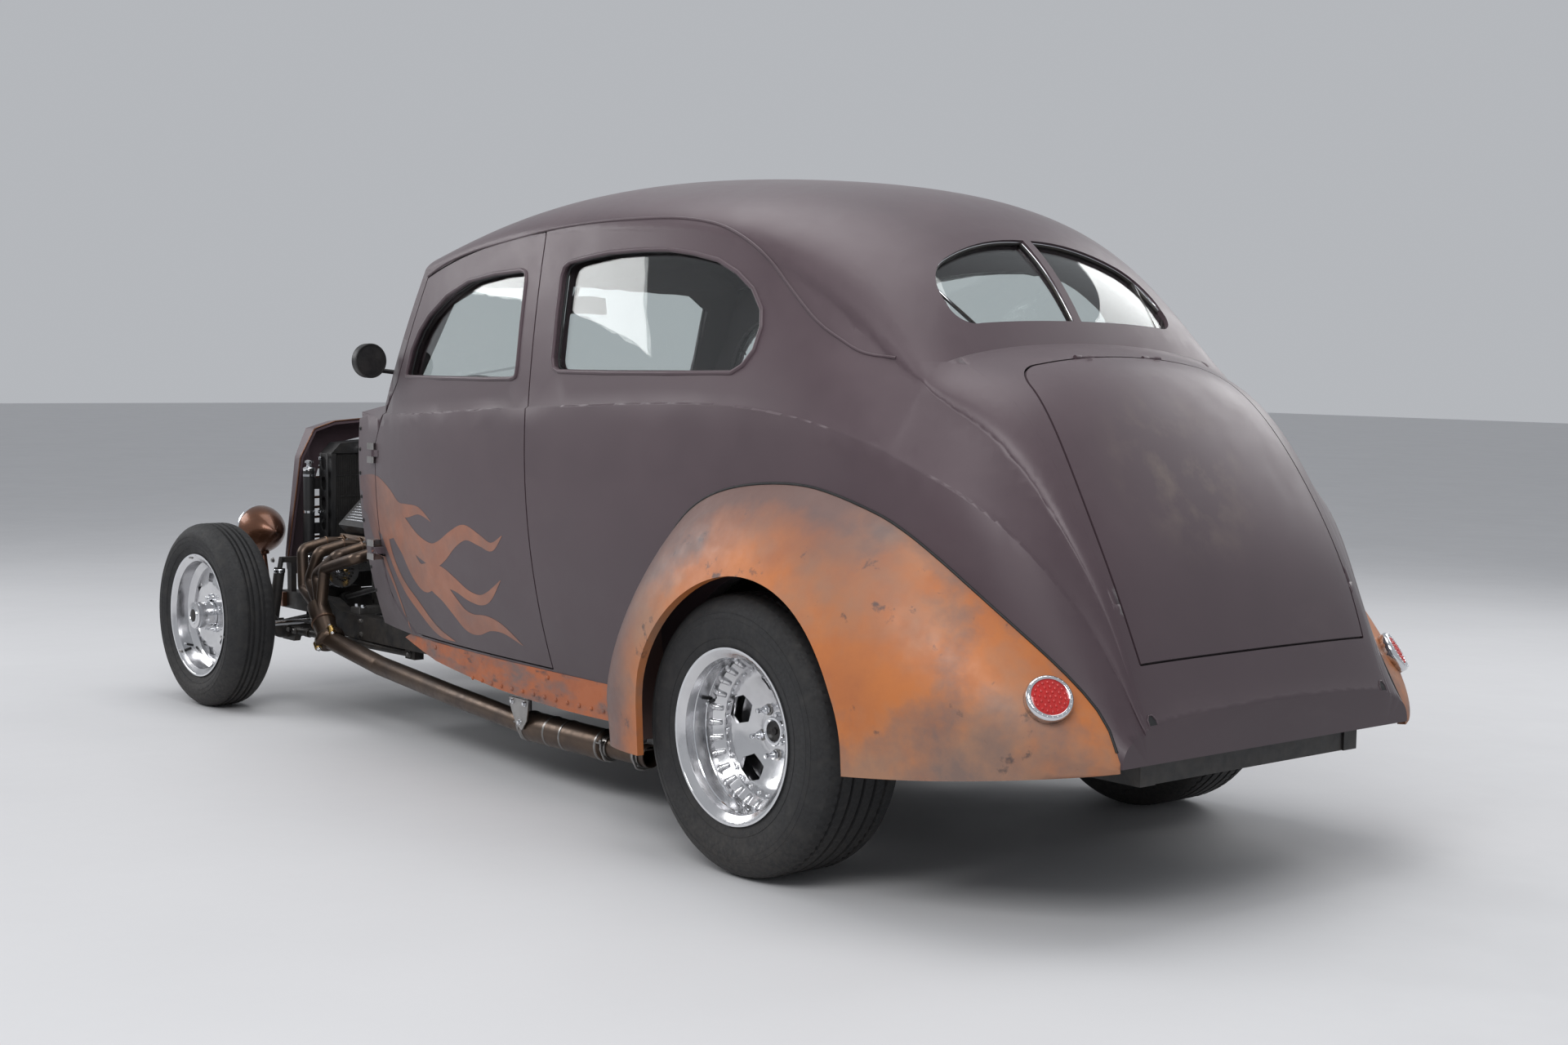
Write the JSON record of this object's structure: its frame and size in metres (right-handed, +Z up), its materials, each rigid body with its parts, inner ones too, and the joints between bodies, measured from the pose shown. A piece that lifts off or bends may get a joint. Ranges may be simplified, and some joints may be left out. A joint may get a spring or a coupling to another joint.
{
  "type": "hot rod sedan",
  "caption": "Humpback sedan of the late 1930s as a hot rod: open engine, no front fenders, teardrop rear fenders, polished wheels.",
  "frame": {"origin": "on the ground under the middle of the length and width", "axes": "+X forward, +Y left, +Z up"},
  "size_m": [4.195, 1.7444, 1.7025],
  "materials": {
    "body_paint": "satin",
    "fender_paint": "satin, rusted",
    "dark_metal": "satin",
    "chassis_black": "satin",
    "chrome": "polished",
    "polished": "polished",
    "glass": "tinted",
    "tyre": "matte",
    "vinyl": "soft",
    "engine_paint": "satin",
    "bronze": "heat tinted",
    "lamp_red": "clear red",
    "mirror": "polished"
  },
  "bodies": {
    "chassis": {"roof": "body_paint", "cowl": "body_paint", "quarter_panels": "body_paint", "deck_panel": "body_paint", "roll_pan": "body_paint", "quarter_glass": "glass", "rear_glass": "glass", "windshield_glass": "glass", "rear_fenders": "fender_paint", "sill_panels": "fender_paint", "floor": "dark_metal", "firewall": "dark_metal", "dashboard": "body_paint", "front_seats": "vinyl", "rear_seat": "vinyl", "parcel_shelf": "vinyl", "rear_view_mirror": "mirror", "side_mirrors": "chrome", "headlamps": "bronze", "tail_lamps": "lamp_red", "door_hinges": "chrome", "frame_rails": "chassis_black", "frame_crossmembers": "chassis_black", "front_axle": "chassis_black", "front_spring": "chassis_black", "steering_column": "dark_metal", "rear_axle": "chassis_black", "rear_springs": "chassis_black", "gearbox": "engine_paint", "engine_block": "engine_paint", "valve_covers": "dark_metal", "intake_manifold": "polished", "air_cleaner": "dark_metal", "engine_drive": "chrome", "exhaust": "bronze", "radiator": "dark_metal", "grille_shell": "body_paint", "grille_bars": "chrome"},
    "door_left": {"door_left": "body_paint", "door_glass_left": "glass"},
    "door_right": {"door_right": "body_paint", "door_glass_right": "glass"},
    "trunk_lid": {"trunk_lid": "body_paint"},
    "knuckle_left": {"knuckle_left": "chassis_black"},
    "knuckle_right": {"knuckle_right": "chassis_black"},
    "wheel_front_left": {"front_wheel_left": "polished", "front_tyre_left": "tyre"},
    "wheel_front_right": {"front_wheel_right": "polished", "front_tyre_right": "tyre"},
    "wheel_rear_left": {"rear_wheel_left": "polished", "rear_tyre_left": "tyre"},
    "wheel_rear_right": {"rear_wheel_right": "polished", "rear_tyre_right": "tyre"},
    "tie_rod": {"tie_rod": "chrome"},
    "pitman_arm": {"pitman_arm": "chassis_black"},
    "drag_link": {"drag_link": "chrome"},
    "steering_wheel": {"steering_wheel": "dark_metal"}
  },
  "joints": [
    {"name": "wheel_front_left_spin", "type": "hinge", "parent": "knuckle_left", "child": "wheel_front_left", "pos_m": [1.7875, 0.695, 0.311], "axis": [0, 1, 0], "continuous": true},
    {"name": "wheel_front_right_spin", "type": "hinge", "parent": "knuckle_right", "child": "wheel_front_right", "pos_m": [1.7875, -0.695, 0.311], "axis": [0, 1, 0], "continuous": true},
    {"name": "wheel_rear_left_spin", "type": "hinge", "parent": "chassis", "child": "wheel_rear_left", "pos_m": [-1.1665, 0.683, 0.334], "axis": [0, 1, 0], "continuous": true},
    {"name": "wheel_rear_right_spin", "type": "hinge", "parent": "chassis", "child": "wheel_rear_right", "pos_m": [-1.1665, -0.683, 0.334], "axis": [0, 1, 0], "continuous": true},
    {"name": "steer_left", "type": "hinge", "parent": "chassis", "child": "knuckle_left", "pos_m": [1.7875, 0.572, 0.312], "axis": [0, 0, 1], "range_deg": [-25, 25]},
    {"name": "steer_right", "type": "hinge", "parent": "chassis", "child": "knuckle_right", "pos_m": [1.7875, -0.572, 0.312], "axis": [0, 0, 1], "range_deg": [-25, 25]},
    {"name": "tie_rod_swing", "type": "hinge", "parent": "knuckle_left", "child": "tie_rod", "pos_m": [1.6375, 0.572, 0.285], "axis": [0, 0, 1], "range_deg": [-25, 25]},
    {"name": "pitman_swing", "type": "hinge", "parent": "chassis", "child": "pitman_arm", "pos_m": [1.7435, 0.25, 0.3], "axis": [0, 0, 1], "range_deg": [-25, 25]},
    {"name": "drag_link_swing", "type": "hinge", "parent": "pitman_arm", "child": "drag_link", "pos_m": [1.6835, 0.25, 0.285], "axis": [0, 0, 1], "range_deg": [-25, 25]},
    {"name": "steering_wheel_turn", "type": "hinge", "parent": "chassis", "child": "steering_wheel", "pos_m": [0.5835, 0.33, 0.985], "axis": [-0.7772, 0, 0.6292], "range_deg": [-375, 375]},
    {"name": "door_left_swing", "type": "hinge", "parent": "chassis", "child": "door_left", "pos_m": [0.856, 0.612, 0.75], "axis": [0, 0, -1], "range_deg": [0, 65]},
    {"name": "door_right_swing", "type": "hinge", "parent": "chassis", "child": "door_right", "pos_m": [0.856, -0.612, 0.75], "axis": [0, 0, 1], "range_deg": [0, 65]},
    {"name": "trunk_lid_lift", "type": "hinge", "parent": "chassis", "child": "trunk_lid", "pos_m": [-1.6095, 0, 1.223], "axis": [0, 1, 0], "range_deg": [0, 60]}
  ],
  "couplings": [
    {"joint": "steer_right", "follows": "steer_left", "ratio": 1},
    {"joint": "tie_rod_swing", "follows": "steer_left", "ratio": -1},
    {"joint": "pitman_swing", "follows": "steer_left", "ratio": 1},
    {"joint": "drag_link_swing", "follows": "steer_left", "ratio": -1},
    {"joint": "steering_wheel_turn", "follows": "steer_left", "ratio": 15}
  ]
}
